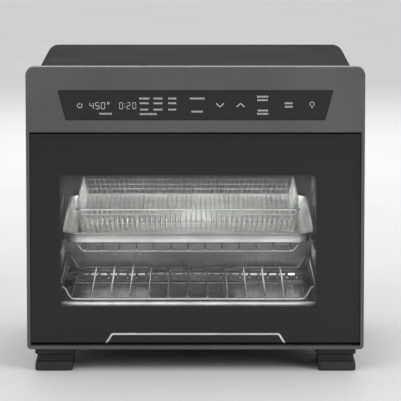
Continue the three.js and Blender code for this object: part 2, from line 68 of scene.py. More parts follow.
def fillet(points, radius, steps=6, closed=True):
    """The polyline with round corners. The radius is one number, or one for each corner."""
    radii = radius if isinstance(radius, (list, tuple)) else [radius] * len(points)
    line = []
    for i, r in enumerate(radii):
        here = Vector(points[i])
        if r <= 0 or (not closed and i in (0, len(points) - 1)):
            line.append(here)
            continue
        before = Vector(points[i - 1]) - here
        after = Vector(points[(i + 1) % len(points)]) - here
        a, b = before.normalized(), after.normalized()
        half = a.angle(b) / 2
        reach = min(r / tan(half), 0.5 * before.length, 0.5 * after.length)
        centre = here + (a + b).normalized() * (reach / cos(half))
        start, end = here + a * reach - centre, here + b * reach - centre
        line += [centre + start.slerp(end, k / steps) * start.length for k in range(steps + 1)]
    return line


def bend(points, radius, steps=6):
    """An open line with round bends."""
    return fillet(points, radius, steps, False)


def rectangle(u0, u1, v0, v1, radius=0.0, steps=6):
    """A rounded rectangle from its lower left corner, anticlockwise."""
    return fillet([(u0, v0), (u1, v0), (u1, v1), (u0, v1)], radius, steps)


def circle(u, v, radius, steps=32):
    turn = 2 * pi / steps
    return [Vector((u + radius * cos(i * turn), v + radius * sin(i * turn)))
            for i in range(steps)]


def spot(plane, u, v, w):
    """The point (u, v) of a drawing in a plane, at w along the third axis, in metres."""
    x, y, z = {"xz": (u, w, v), "yz": (w, u, v), "xy": (u, v, w)}[plane]
    return Vector((x, y, z)) * MM


def slab(bm, loops, low, high, plane="xz"):
    """A closed plate between two levels. The first loop is its outline, the others are holes."""
    edges = []
    for loop in loops:
        verts = [bm.verts.new(spot(plane, u, v, low)) for u, v in loop]
        edges += [bm.edges.new((verts[i - 1], verts[i])) for i in range(len(verts))]
    fill = bmesh.ops.triangle_fill(bm, use_beauty=True, edges=edges)["geom"]
    faces = [g for g in fill if isinstance(g, bmesh.types.BMFace)]
    grown = bmesh.ops.extrude_face_region(bm, geom=faces, use_keep_orig=True)["geom"]
    verts = [g for g in grown if isinstance(g, bmesh.types.BMVert)]
    bmesh.ops.translate(bm, verts=verts, vec=spot(plane, 0, 0, high - low))


def plate(*args):
    """A builder that adds such a slab."""
    return lambda bm: slab(bm, *args)


def loft(bm, rings, closed_ends=True):
    """Quads between closed rings of as many points each, given in metres."""
    rows = [[bm.verts.new(p) for p in ring] for ring in rings]
    count = len(rows[0])
    for lower, upper in zip(rows, rows[1:]):
        for i in range(count):
            bm.faces.new((lower[i - 1], lower[i], upper[i], upper[i - 1]))
    if closed_ends:
        bm.faces.new(rows[0])
        bm.faces.new(rows[-1])


def turned(bm, profile, centre, axis, steps=40):
    """A body of revolution. The profile is (distance along the axis, radius), from pole to pole."""
    pole = 0.01
    along = Vector(axis)
    side = along.orthogonal().normalized()
    across = along.cross(side)
    rings = []
    for distance, radius in profile:
        ring = []
        for i in range(steps):
            angle = 2 * pi * i / steps
            spoke = side * cos(angle) + across * sin(angle)
            ring.append((Vector(centre) + along * distance + spoke * max(radius, pole)) * MM)
        rings.append(ring)
    loft(bm, rings)


def wires(name, lines, radius, sides=8, closed=False):
    """Round wires along polylines in millimetres, as one mesh."""
    curve = bpy.data.curves.new(name, "CURVE")
    curve.dimensions = "3D"
    curve.bevel_depth = radius * MM
    curve.bevel_resolution = max(0, sides // 4 - 1)
    curve.use_fill_caps = True
    for line in lines:
        spline = curve.splines.new("POLY")
        spline.points.add(len(line) - 1)
        spline.use_cyclic_u = closed
        for point, place in zip(spline.points, line):
            point.co = (*(Vector(place) * MM), 1)
    holder = bpy.data.objects.new(name, curve)
    mesh = bpy.data.meshes.new_from_object(holder)
    bpy.data.objects.remove(holder)
    bpy.data.curves.remove(curve)
    return mesh


def meshed(name, *builders):
    """A mesh made by functions that each add closed bodies to one bmesh."""
    bm = bmesh.new()
    for build in builders:
        build(bm)
    bmesh.ops.remove_doubles(bm, verts=bm.verts, dist=1e-6)
    bmesh.ops.recalc_face_normals(bm, faces=bm.faces)
    mesh = bpy.data.meshes.new(name)
    bm.to_mesh(mesh)
    bm.free()
    return mesh


def boolean(mesh, operation, *builders):
    """The mesh joined with, or cut by, the bodies that the builders make."""
    tool = bpy.data.objects.new("tool", meshed("tool", *builders))
    work = bpy.data.objects.new("work", mesh)
    for holder in (tool, work):
        link(holder)
    step = work.modifiers.new("step", "BOOLEAN")
    step.operation = operation
    step.object = tool
    step.solver = "EXACT"
    step.use_self = True
    ready = work.evaluated_get(bpy.context.evaluated_depsgraph_get())
    result = bpy.data.meshes.new_from_object(ready)
    for holder in (tool, work):
        bpy.data.objects.remove(holder)
    return result


def cut(mesh, *builders):
    return boolean(mesh, "DIFFERENCE", *builders)


def bevel(holder, width):
    """Rounds an object's sharp edges, with even shading on its flat faces."""
    edge = holder.modifiers.new("edges", "BEVEL")
    edge.width = width * MM
    edge.segments = 2
    edge.limit_method = "ANGLE"
    edge.angle_limit = radians(35)
    edge.harden_normals = True


def piece(name, mesh, body, material, replaces=(), edge=0.0, sharp=40):
    """A piece of the object. Its corners are rounded by edge, or shaded as sharp over an angle."""
    mesh.materials.clear()
    mesh.materials.append(material)
    mesh.shade_smooth()
    if not edge:
        mesh.set_sharp_from_angle(angle=radians(sharp))
    made = bpy.data.objects.new(name, mesh)
    link(made)
    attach(made, body)
    if replaces:
        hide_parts(*replaces)
    if edge:
        bevel(made, edge)


def keep(node, material, edge):
    """A CAD node that stays: a finer material, and a small radius on its edges."""
    carried = frame["nodes"][node]
    for holder in carried.material_slots:
        holder.material = material
    weld = carried.modifiers.new("weld", "WELD")
    weld.merge_threshold = 1e-6
    bevel(carried, edge)


# -- materials
def srgb(red, green, blue):
    """A linear colour from display levels 0 to 255."""
    return tuple((level / 255) ** 2.2 for level in (red, green, blue))


def shade(grey, share=1.0):
    """The linear colour of three display levels, made lighter or darker by a share."""
    return srgb(*[min(255, level * share) for level in grey])


def finish(name, colour, roughness, metallic=0.0, sockets=()):
    """A material with one plain colour, for noise and relief to work on."""
    made = bpy.data.materials.new(name)
    made.use_nodes = True
    shader = made.node_tree.nodes["Principled BSDF"]
    shader.inputs["Base Color"].default_value = (*colour, 1)
    shader.inputs["Roughness"].default_value = roughness
    shader.inputs["Metallic"].default_value = metallic
    for socket, value in dict(sockets).items():
        shader.inputs[socket].default_value = value
    return made


def noise(material, scale, stretch=(1, 1, 1), detail=2.0):
    """Noise in the object's own space, with scale cells to the metre."""
    nodes, links = material.node_tree.nodes, material.node_tree.links
    where = nodes.new("ShaderNodeTexCoord")
    fit = nodes.new("ShaderNodeMapping")
    fit.inputs["Scale"].default_value = [scale * s for s in stretch]
    cells = nodes.new("ShaderNodeTexNoise")
    cells.inputs["Scale"].default_value = 1.0
    cells.inputs["Detail"].default_value = detail
    links.new(where.outputs["Object"], fit.inputs["Vector"])
    links.new(fit.outputs["Vector"], cells.inputs["Vector"])
    return cells.outputs["Fac"]


def vary_colour(material, source, low, high):
    """The base colour runs from low to high over the middle of the source's range."""
    nodes, links = material.node_tree.nodes, material.node_tree.links
    ramp = nodes.new("ShaderNodeValToRGB")
    ramp.color_ramp.elements[0].position = 0.3
    ramp.color_ramp.elements[0].color = (*low, 1)
    ramp.color_ramp.elements[1].position = 0.7
    ramp.color_ramp.elements[1].color = (*high, 1)
    links.new(source, ramp.inputs["Fac"])
    links.new(ramp.outputs["Color"], nodes["Principled BSDF"].inputs["Base Color"])


def vary_roughness(material, source, low, high):
    """The roughness runs from low to high over the middle of the source's range."""
    nodes, links = material.node_tree.nodes, material.node_tree.links
    span = nodes.new("ShaderNodeMapRange")
    span.inputs["From Min"].default_value = 0.3
    span.inputs["From Max"].default_value = 0.7
    span.inputs["To Min"].default_value = low
    span.inputs["To Max"].default_value = high
    links.new(source, span.inputs["Value"])
    links.new(span.outputs["Result"], nodes["Principled BSDF"].inputs["Roughness"])


def relief(material, source, depth):
    """Bumps up to a depth in millimetres, on top of any that the material has."""
    nodes, links = material.node_tree.nodes, material.node_tree.links
    normal = nodes["Principled BSDF"].inputs["Normal"]
    bump = nodes.new("ShaderNodeBump")
    bump.inputs["Distance"].default_value = depth * MM
    if normal.is_linked:
        links.new(normal.links[0].from_socket, bump.inputs["Normal"])
    links.new(source, bump.inputs["Height"])
    links.new(bump.outputs["Normal"], normal)


def moulded(name, grey, roughness):
    """Moulded plastic with an eroded grain and faint cloudiness from its flow in the mould."""
    made = finish(name, shade(grey), roughness, sockets={"Specular IOR Level": 0.4})
    vary_colour(made, noise(made, 14, detail=3), shade(grey, 0.96), shade(grey, 1.04))
    vary_roughness(made, noise(made, 60), roughness - 0.04, roughness + 0.05)
    relief(made, noise(made, 2200), 0.015)
    return made


def painted(name, grey, roughness):
    """Powder paint on sheet steel: orange peel, a finer grit and soft handling marks."""
    made = finish(name, shade(grey), roughness, sockets={"Specular IOR Level": 0.0})
    vary_colour(made, noise(made, 9, detail=4), shade(grey, 0.95), shade(grey, 1.05))
    vary_roughness(made, noise(made, 35, detail=4), roughness - 0.06, roughness + 0.08)
    relief(made, noise(made, 650), 0.05)
    relief(made, noise(made, 3000), 0.012)
    return made


def brushed(name, grey, roughness, stretch, sheen=0.35, depth=0.01):
    """Brushed sheet steel. The stretch has its small value along the brush lines."""
    made = finish(name, shade(grey), roughness, 1.0, {"Anisotropic": sheen})
    lines = noise(made, 1800, stretch, detail=3)
    vary_colour(made, noise(made, 25, detail=4), shade(grey, 0.9), shade(grey, 1.06))
    vary_roughness(made, lines, roughness - 0.08, roughness + 0.1)
    relief(made, lines, depth)
    relief(made, noise(made, 22, detail=1), 0.25)
    return made


def plated(name, grey, roughness):
    """Bright plated wire, with faint drawing lines and heat tint."""
    made = finish(name, shade(grey), roughness, 1.0)
    vary_colour(made, noise(made, 40, detail=3), shade(grey, 0.9), shade(grey))
    vary_roughness(made, noise(made, 300), roughness - 0.05, roughness + 0.08)
    relief(made, noise(made, 900), 0.02)
    return made


def clear(name, tint, roughness, smudges):
    """Clear glass that lamps shine through, with the faintest wiping marks in its gloss."""
    made = finish(name, tint, roughness, sockets={"Transmission Weight": 1.0, "IOR": 1.16})
    vary_roughness(made, noise(made, 18, detail=5), roughness, roughness + smudges)
    nodes, links = made.node_tree.nodes, made.node_tree.links
    path = nodes.new("ShaderNodeLightPath")
    open_air = nodes.new("ShaderNodeBsdfTransparent")
    open_air.inputs["Color"].default_value = (*tint, 1)
    mix = nodes.new("ShaderNodeMixShader")
    links.new(path.outputs["Is Shadow Ray"], mix.inputs["Fac"])
    links.new(nodes["Principled BSDF"].outputs["BSDF"], mix.inputs[1])
    links.new(open_air.outputs["BSDF"], mix.inputs[2])
    links.new(mix.outputs["Shader"], nodes["Material Output"].inputs["Surface"])
    return made


def glossy_black(name, grey, roughness):
    """Back-painted panel: a smooth dark face with a faint cloud of wiping marks."""
    made = finish(name, shade(grey), roughness)
    vary_colour(made, noise(made, 5), shade(grey, 0.98), shade(grey, 1.02))
    vary_roughness(made, noise(made, 12, detail=5), roughness, roughness + 0.03)
    return made


def printed(name, grey):
    """Screen print: a flat, slightly uneven ink."""
    made = finish(name, shade(grey), 0.6)
    vary_colour(made, noise(made, 900), shade(grey, 0.92), shade(grey))
    relief(made, noise(made, 5000), 0.004)
    return made


def board_lacquer(name):
    """Green lacquer over a circuit board's copper."""
    made = finish(name, srgb(40, 84, 56), 0.4)
    vary_colour(made, noise(made, 260, detail=1), srgb(30, 70, 44), srgb(54, 100, 68))
    relief(made, noise(made, 400), 0.04)
    return made


def rubber(name, grey):
    """Matt moulded rubber with a fine pebble."""
    made = finish(name, shade(grey), 0.75, sockets={"Specular IOR Level": 0.35})
    vary_colour(made, noise(made, 30, detail=4), shade(grey, 0.92), shade(grey, 1.08))
    relief(made, noise(made, 1100), 0.03)
    return made


ALONG_X, ALONG_Y, ALONG_Z = (0.02, 1, 1), (1, 0.02, 1), (1, 1, 0.02)

BEZEL_GREY = moulded("bezel_plastic", (84, 86, 86), 0.42)
PAINT = painted("housing_paint", (77, 77, 77), 0.5)
ENAMEL = glossy_black("door_enamel", (16, 16, 17), 0.24)
GLASS = clear("window_glass", (0.96, 0.97, 0.965), 0.0, 0.02)
SCREEN = glossy_black("screen_glass", (24, 25, 26), 0.16)
PLASTIC = moulded("black_plastic", (30, 30, 31), 0.5)
RUBBER = rubber("foot_rubber", (52, 52, 52))
WALL = brushed("cavity_steel", (122, 123, 122), 0.32, ALONG_Z, sheen=0.2, depth=0.003)
FLOOR_STEEL = brushed("crumb_tray_steel", (178, 179, 178), 0.3, ALONG_Y)
STEEL = brushed("frame_steel", (150, 150, 148), 0.34, ALONG_X)
HEATER = plated("heater_tube", (170, 170, 168), 0.34)
CHROME = plated("wire_chrome", (225, 225, 223), 0.16)
# The racks' wire is the basket's plating made darker: painted shade that stands in for the dark reflections
# the rack wires show.
RACK_WIRE_PAINTED_DARK = plated("rack_wire_painted_shade", (150, 150, 149), 0.2)
TRAY_STEEL = brushed("tray_steel", (192, 192, 190), 0.36, ALONG_X, sheen=0.2, depth=0.004)
LINER = brushed("liner_steel", (120, 121, 120), 0.4, ALONG_X)
TRIM = brushed("trim_metal", (235, 235, 233), 0.3, ALONG_X, sheen=0.2, depth=0.003)
BOARD = board_lacquer("circuit_board")
LAMP = clear("lamp_glass", (0.95, 0.95, 0.94), 0.25, 0.1)
INK = printed("trim_metal", (205, 205, 203))
FRIT = printed("window_frit", (34, 34, 35))


# -- housing
BEZEL_CORNERS, BEZEL_FACE, BEZEL_WALL, BEZEL_LIP = [5, 5, 10, 10], 4, 6, 1.6
THROAT_HALF, SILL, HEADER, SIDE_GAP, TOP_GAP = 187.2, 4, 290, 0.5, 1.5
WRAP_RADIUS, WRAP_SHEET = 15, 1.2
SLOT_WIDTH, SIDE_SLOT_LOW, SIDE_SLOT_HIGH, SIDE_SLOT_PLACES = 4, 292, 332, range(40, 136, 12)
BACK_SLOT_BANK, BACK_SLOT_HALF, BACK_SLOT_PLACES = 90, 32, range(214, 322, 12)
TRAY_HOLE_LOW, TRAY_HOLE_HIGH, CORD_HOLE = 58, 66.5, 6.5
SCREW_INSET, MIDDLE_SCREWS = 9, 190


def front_bezel():
    """One moulding: a doorway with a thin lip behind it, and a hollow panel for the screen."""
    (x0, y0, z0), (x1, y1, z1) = corners("front_bezel")
    (u0, _, v0), (u1, _, v1) = corners("door_panel")
    wall, top = BEZEL_WALL, v1 + TOP_GAP
    outline = fillet([(x0, z0), (x1, z0), (x1, z1), (x0, z1)], BEZEL_CORNERS, 10)
    doorway = rectangle(u0 - SIDE_GAP, u1 + SIDE_GAP, v0 - SIDE_GAP, top, 0.6, 2)
    throat = rectangle(-THROAT_HALF, THROAT_HALF, z0 + SILL, top)
    hollow = rectangle(x0 + wall, x1 - wall, HEADER, z1 - wall, 3)
    mesh = cut(
        meshed("front_bezel", plate([outline], y0, y1)),
        plate([hollow], y0 + BEZEL_FACE, y1 + 1),
        plate([doorway], y0 - 1, y1 - BEZEL_LIP),
        plate([throat], y0, y1 + 1),
        plate([screen_outline(0)], y0 - 1, y0 + BEZEL_FACE + 1))
    piece("bezel", mesh, "housing", BEZEL_GREY, ["front_bezel"], edge=0.7)


def outer_wrap():
    """The top and both sides, folded from one sheet, with slots high on each side."""
    (x0, y0, z0), (x1, y1, z1) = corners("outer_wrap")
    sheet, radius = WRAP_SHEET, WRAP_RADIUS
    outer = bend([(x0, z0), (x0, z1), (x1, z1), (x1, z0)], radius, 14)
    inner = bend([(x1 - sheet, z0), (x1 - sheet, z1 - sheet), (x0 + sheet, z1 - sheet),
                  (x0 + sheet, z0)], radius - sheet, 14)
    mesh = meshed("outer_wrap", plate([outer + inner], y0, y1))
    slots = []
    for edge in (-x1, x1):
        for y in SIDE_SLOT_PLACES:
            slot = rectangle(y, y + SLOT_WIDTH, SIDE_SLOT_LOW, SIDE_SLOT_HIGH, 1.9, 4)
            slots.append(plate([slot], edge - 3, edge + 3, "yz"))
    mesh = cut(mesh, *slots)
    piece("wrap", mesh, "housing", PAINT, ["outer_wrap"], edge=0.35)
    for name, side in SIDES.items():
        louvres(f"side_louvres_{name}", x1 * side, side)


def louvres(name, x, side):
    """Pressed hoods over the slots of one side, each open towards the rear."""
    def hoods(bm):
        for y in SIDE_SLOT_PLACES:
            section = [(y - 3.2, 0.05), (y - 2.2, 0.5), (y + 0.4, 1.7), (y + 3.4, 2.2), (y + 3.4, 1.5),
                       (y + 0.7, 1.0), (y - 1.6, 0.05)]
            loop = [(x + side * out, along) for along, out in section]
            slab(bm, [loop], SIDE_SLOT_LOW - 1, SIDE_SLOT_HIGH + 1, "xy")
    piece(name, meshed(name, hoods), "housing", PAINT, edge=0.3)


def back_panel():
    """The rear sheet with two banks of hooded slots, the crumb tray's way out and the cord's hole."""
    (x0, y0, z0), (x1, y1, z1) = corners("back_panel")
    (c0, _, _), (c1, _, _) = corners("crumb_tray")
    gland = sum(corners("cord_gland"), Vector()) / 2
    outline = fillet([(x0, z0), (x1, z0), (x1, z1), (x0, z1)], [3, 3, WRAP_RADIUS, WRAP_RADIUS], 12)
    holes = [rectangle(c0 + 2, c1 - 2, TRAY_HOLE_LOW, TRAY_HOLE_HIGH, 1),
             circle(gland.x, gland.z, CORD_HOLE)]
    half = BACK_SLOT_HALF
    rows = [(x, z) for x in (-BACK_SLOT_BANK, BACK_SLOT_BANK) for z in BACK_SLOT_PLACES]
    holes += [rectangle(x - half, x + half, z, z + SLOT_WIDTH, 1.9, 4) for x, z in rows]
    mesh = meshed("back_panel", plate([outline, *holes], y0, y1))
    piece("rear_panel", mesh, "housing", PAINT, ["back_panel"], edge=0.35)

    def hoods(bm):
        for x, z in rows:
            section = [(y1 - 0.1, z - 2.4), (y1 + 0.5, z - 1.4), (y1 + 2.3, z + 2.6), (y1 + 2.3, z + 3.4),
                       (y1 + 1.6, z + 3.4), (y1 + 0.2, z - 0.4), (y1 - 0.1, z - 0.6)]
            slab(bm, [section[::-1]], x - half - 1, x + half + 1, "yz")
    piece("rear_louvres", meshed("rear_louvres", hoods), "housing", PAINT, edge=0.3)
    left, right = x0 + SCREW_INSET, x1 - SCREW_INSET
    corner_screws = [(x, z) for x in (left, 0, right) for z in (z0 + SCREW_INSET, z1 - SCREW_INSET)]
    screws(corner_screws + [(x, MIDDLE_SCREWS) for x in (left, right)], y1)


def screws(places, y):
    """Pan-head screws with a cross slot, on the back."""
    def heads(bm):
        for x, z in places:
            turned(bm, [(0, 0), (0.02, 3.4), (1.0, 3.2), (1.9, 2.2), (2.2, 1.0), (2.25, 0)],
                   (x, y, z), (0, 1, 0), 24)

    def crosses(bm):
        for x, z in places:
            for wide, high in ((2, 0.4), (0.4, 2)):
                slab(bm, [rectangle(x - wide, x + wide, z - high, z + high, 0.2, 2)], y + 1.1, y + 4)
    mesh = cut(meshed("rear_screws", heads), crosses)
    piece("rear_screws", mesh, "housing", STEEL, sharp=30)


# Each step of a foot is (height, inset). A negative height goes down from its top, None is the top.
PAD_STEPS = [(0, 1.6), (0.4, 0.7), (1.4, 0.1), (4, 0), (-2.2, 0.3), (-0.8, 0.6), (-0.2, 1.0), (None, 1.7)]
BLOCK_STEPS = [(0, 3.4), (0.5, 2.8), (-7.6, 2.8), (-6.8, 2.4), (-6.2, 0.9), (-5.6, 0.3), (-4.8, 0),
               (-0.5, 0), (None, 0.5)]


def turned_piece(name, node, profile, axis, material, steps=40, sharp=40):
    """A turned body in place of a CAD node of the housing, from the node's near end along the axis."""
    ends = zip(*corners(node), axis)
    start = [low if way > 0 else high if way < 0 else (low + high) / 2 for low, high, way in ends]
    mesh = meshed(name, lambda bm: turned(bm, profile, start, axis, steps))
    piece(name, mesh, "housing", material, [node], sharp=sharp)


def feet():
    for end in ("front", "rear"):
        for side in SIDES:
            foot_part("pad", f"{end}_{side}", PAD_STEPS, 6, RUBBER)
            foot_part("block", f"{end}_{side}", BLOCK_STEPS, 5, PLASTIC)


def foot_part(kind, place, steps, radius, material):
    """A round-cornered body whose outline steps in and out with height."""
    node, name = f"foot_{kind}_{place}", f"{kind}_{place}"
    (x0, y0, z0), (x1, y1, z1) = corners(node)
    rings = []
    for up, inset in steps:
        z = z1 if up is None else (z0 if up >= 0 else z1) + up
        loop = rectangle(x0 + inset, x1 - inset, y0 + inset, y1 - inset, max(radius - inset, 0.6))
        rings.append([spot("xy", u, v, z) for u, v in loop])
    piece(name, meshed(name, lambda bm: loft(bm, rings)), "housing", material, [node])


def rear_bumpers():
    """Turned rubber buffers that keep the back off the wall."""
    for side in SIDES:
        node = f"rear_bumper_{side}"
        depth = corners(node)[1].y - corners(node)[0].y
        profile = [(0, 0), (0, 8.6), (0.5, 9), (depth - 6.2, 9), (depth - 5.4, 9.6), (depth - 5, 12.8),
                   (depth - 4.2, 13.8), (depth - 1.4, 13.8), (depth - 0.4, 12.8), (depth, 11), (depth, 0)]
        turned_piece(f"bumper_{side}", node, profile, (0, 1, 0), RUBBER)


def cord_gland():
    """A hollow gland: a flange against the back panel, then a ribbed sleeve."""
    low, high = corners("cord_gland")
    centre, depth = (low + high) / 2, high.y - low.y
    bore, wall, steps = 3.6, 6, 40
    profile = [(0, bore), (0, wall - 0.4), (0.4, wall), (5.7, wall), (5.8, 10.6), (6.2, 11), (8.8, 11),
               (9.3, 10.4), (9.6, wall + 0.6)]
    for rib in range(4):
        at = 10.2 + rib * 1.9
        profile += [(at, wall - 0.9), (at + 0.9, wall - 0.9), (at + 1.0, wall - 0.1 - 0.2 * rib)]
    profile += [(depth - 0.3, wall - 1), (depth, wall - 1.4), (depth, bore)]
    angles = [2 * pi * i / steps for i in range(steps)]
    rings = [[Vector((centre.x + r * cos(a), low.y + d, centre.z + r * sin(a))) * MM
              for a in angles] for d, r in profile]
    mesh = meshed("gland", lambda bm: loft(bm, rings + [rings[0]], closed_ends=False))
    piece("gland", mesh, "housing", PLASTIC, ["cord_gland"])


# -- controls
# The taper is how far each end leans in from the top edge to the bottom edge.
LENS_TAPER, LENS_LAP, LENS_BOTTOM, LENS_TOP, LENS_FACE, LENS_FLANGE = 9.7, 4, 300.2, 336, 2.2, 2.5


def screen_outline(grow):
    """The lens opening in the bezel, a trapezoid that is wider at the top."""
    (x0, _, _), (x1, _, _) = corners("control_glass")
    top_half, bottom, top = (x1 - x0) / 2 - LENS_LAP, LENS_BOTTOM, LENS_TOP
    low_half = top_half - LENS_TAPER
    return fillet([(-low_half - grow, bottom - grow), (low_half + grow, bottom - grow),
                   (top_half + grow, top + grow), (-top_half - grow, top + grow)], 1.2, 5)


def touch_screen():
    """The lens: a face that fills the opening, and a wider flange behind the bezel."""
    (_, y0, _), (_, y1, _) = corners("control_glass")
    mesh = meshed("touch_screen", plate([screen_outline(-0.4)], y0, y0 + LENS_FACE),
                  plate([screen_outline(LENS_LAP)], y0 + LENS_FLANGE, y1))
    piece("touch_screen", mesh, "housing", SCREEN, ["control_glass"], edge=0.25)


SEGMENTS = {"0": "abcdef", "2": "abged", "4": "fgbc", "5": "afgcd"}
INK_DEPTH = 0.06


def digit(bm, label, x, wide, level):
    """A seven-segment numeral with mitred bars, its left edge at x."""
    bar, gap = wide * 0.17, 0.12
    ends = {"a": ((0, 1), (1, 1)), "b": ((1, 0.5), (1, 1)), "c": ((1, 0), (1, 0.5)), "d": ((0, 0), (1, 0)),
            "e": ((0, 0), (0, 0.5)), "f": ((0, 0.5), (0, 1)), "g": ((0, 0.5), (1, 0.5))}
    for segment in SEGMENTS[label]:
        start, end = [Vector((x + u * wide, DIGIT_BASE + v * DIGIT_HIGH)) for u, v in ends[segment]]
        along = (end - start).normalized()
        across = Vector((-along.y, along.x)) * bar / 2
        a, b = start + along * gap, end - along * gap
        tip = along * bar / 2
        ink(bm, [a, a + tip - across, b - tip - across, b, b - tip + across, a + tip + across], level)


def ink(bm, loop, level):
    """A thin print of the outline, its back at the level."""
    slab(bm, [loop], level - INK_DEPTH, level)


def word(bm, x, z, wide, level):
    """A row of plain blocks that stands for a printed label."""
    high, pitch, block = 2.3, 1.35, 0.85
    count = max(2, round(wide / pitch))
    for i in range(count):
        left = x + i * pitch
        tall = high * (1, 0.8, 1, 0.7)[i % 4]
        ink(bm, rectangle(left, left + block, z, z + tall, 0.1, 1), level)


def stroke(points, half):
    """The outline of an open line with a square section, drawn half to each side."""
    line = [Vector(p) for p in points]
    offsets = []
    for i in range(len(line)):
        along = (line[min(i + 1, len(line) - 1)] - line[max(i - 1, 0)]).normalized()
        offsets.append(Vector((-along.y, along.x)) * half)
    return ([p - o for p, o in zip(line, offsets)]
            + [p + o for p, o in zip(reversed(line), reversed(offsets))])


def open_ring(x, z, radius, start, step, count, half):
    """The outline of a ring with a gap, drawn from a start angle on in steps, in degrees."""
    turn = [radians(start + i * step) for i in range(count + 1)]
    return stroke([(x + radius * sin(a), z + radius * cos(a)) for a in turn], half)


def power_icon(bm, x, z, level):
    ink(bm, open_ring(x, z, 2.7, 38, 284 / 28, 28, 0.36), level)
    ink(bm, rectangle(x - 0.36, x + 0.36, z + 0.8, z + 3.4, 0.2, 2), level)


def lamp_icon(bm, x, z, level):
    ink(bm, open_ring(x, z + 1, 2.4, -150, 12, 25, 0.34), level)
    for drop in (1.9, 3.0):
        ink(bm, rectangle(x - 1.2, x + 1.2, z - drop - 0.5, z - drop, 0.15, 2), level)


DIGIT_WIDE, DIGIT_HIGH, DIGIT_BASE, TIMER_SHARE = 4.2, 7.4, 313.6, 0.84
TEMPERATURE = (("4", -124.4), ("5", -117.7), ("0", -111.0))
TIMER = (("0", -89.4), ("2", -80.6), ("0", -73.8))
COLON_X, COLON_SIZE, COLON_HEIGHTS = -83.6, 0.9, (315.4, 319.2)
ARROW_Z, ARROW_REACH, ARROW_RISE = 318, 4.5, 2.1
# Left edge, base line and width of each label.
SCREEN_WORDS = [
    (-113.1, 306.8, 14.5),
    (-66.1, 324.8, 11.6), (-49.2, 324.8, 11), (-31.8, 324.8, 9.8),
    (-65.4, 319.2, 10.6), (-49.2, 319.2, 11), (-31.8, 319.2, 10.1),
    (-64.9, 311.7, 10), (-49.2, 311.7, 11), (-31.8, 311.7, 10.1),
    (-65.5, 306.4, 20.1),
    (-6.4, 324.8, 17.3), (-4.4, 309.3, 14),
    (72.8, 327.0, 13), (73.2, 322.9, 12.2), (73.6, 310.6, 11.8), (72.8, 306.7, 13),
    (105.3, 319.2, 9.8), (105.6, 315.1, 9.2),
]


def screen_marks():
    """What shows on the screen: numerals, arrows, icons and plain blocks in place of words."""
    level = corners("control_glass")[0].y

    def marks(bm):
        power_icon(bm, -136.3, 317.6, level)
        for label, x in TEMPERATURE:
            digit(bm, label, x, DIGIT_WIDE, level)
        ink(bm, open_ring(-102.6, 320.4, 1.2, 4, 352 / 20, 20, 0.3), level)
        for label, x in TIMER:
            digit(bm, label, x, DIGIT_WIDE * TIMER_SHARE, level)
        for z in COLON_HEIGHTS:
            ink(bm, rectangle(COLON_X, COLON_X + COLON_SIZE, z, z + COLON_SIZE, 0.2, 2), level)
        for x, z, length in SCREEN_WORDS:
            word(bm, x, z, length, level)
        for x, tip in ((29.0, -ARROW_RISE), (53.2, ARROW_RISE)):
            arrow = [(x - ARROW_REACH, ARROW_Z - tip), (x, ARROW_Z + tip), (x + ARROW_REACH, ARROW_Z - tip)]
            ink(bm, stroke(arrow, 0.55), level)
        lamp_icon(bm, 137.5, 318.4, level)
    piece("screen_marks", meshed("screen_marks", marks), "housing", INK)


# -- door
SKIN, PANE_LAP, PIN_HOLE = 2.0, 10, 2.3


def hinge_axis():
    """Where the door turns, as (y, z) in millimetres."""
    joint = next(j for j in frame["joints"] if j["name"] == "door_hinge")
    return joint["pos_m"][1] / MM, joint["pos_m"][2] / MM


def window_rectangle(grow):
    """The clear window in the door's black face."""
    (x0, _, z0), (x1, _, z1) = corners("door_window")
    lap = PANE_LAP - grow
    return rectangle(x0 + lap, x1 - lap, z0 + lap, z1 - lap, max(5.0 + grow, 0.5), 8)


def door_section():
    """The skin cut across, in (y, z): a flat face, a foot rolled about the hinge, a top return."""
    (_, face, foot), (_, rear, top) = corners("door_panel")
    hy, hz = hinge_axis()
    roll = hz - foot
    low = hz - sqrt(roll ** 2 - (hy - face) ** 2)
    start = atan2(low - hz, face - hy)
    arc = [(hy + roll * cos(a), hz + roll * sin(a))
           for a in [start + i / 18 * (pi / 2 - start) for i in range(19)]]
    return [(face, top), *arc, (face + SKIN, hz + roll), (face + SKIN, top - SKIN),
            (rear, top - SKIN), (rear, top)]


def door_skin():
    """The black skin with a flange down each end, the window's opening and the pins' holes."""
    (x0, face, _), (x1, rear, z1) = corners("door_panel")
    hy, hz = hinge_axis()
    flange = [(face + 1, hz), (rear, hz), (rear, z1 - 1), (face + 1, z1 - 1)]
    hole = circle(hy, hz, PIN_HOLE, 24)

    def flanges(bm):
        slab(bm, [flange], x0, x0 + SKIN, "yz")
        slab(bm, [flange], x1 - SKIN, x1, "yz")

    def openings(bm):
        slab(bm, [window_rectangle(0)], face - 1, face + SKIN + 1)
        slab(bm, [hole], x0 - 1, x0 + 6, "yz")
        slab(bm, [hole], x1 - 6, x1 + 1, "yz")
    mesh = meshed("door_skin", plate([door_section()], x0, x1, "yz"))
    mesh = cut(boolean(mesh, "UNION", flanges), openings)
    piece("door_skin", mesh, "door", ENAMEL, ["door_panel"], edge=0.3)


def door_glass():
    """The outer pane. Its raised middle fills the window, flush with the black face."""
    (_, y0, _), (_, y1, _) = corners("door_window")
    (_, face, _), _ = corners("door_panel")
    rings = [(window_rectangle(PANE_LAP), y1), (window_rectangle(PANE_LAP), y0),
             (window_rectangle(-0.15), y0), (window_rectangle(-0.15), face + 0.1),
             (window_rectangle(-0.25), face)]
    mesh = meshed("window_pane", lambda bm: loft(
        bm, [[spot("xz", u, v, y) for u, v in loop] for loop, y in rings]))
    piece("window_pane", mesh, "door", GLASS, ["door_window"], sharp=20)


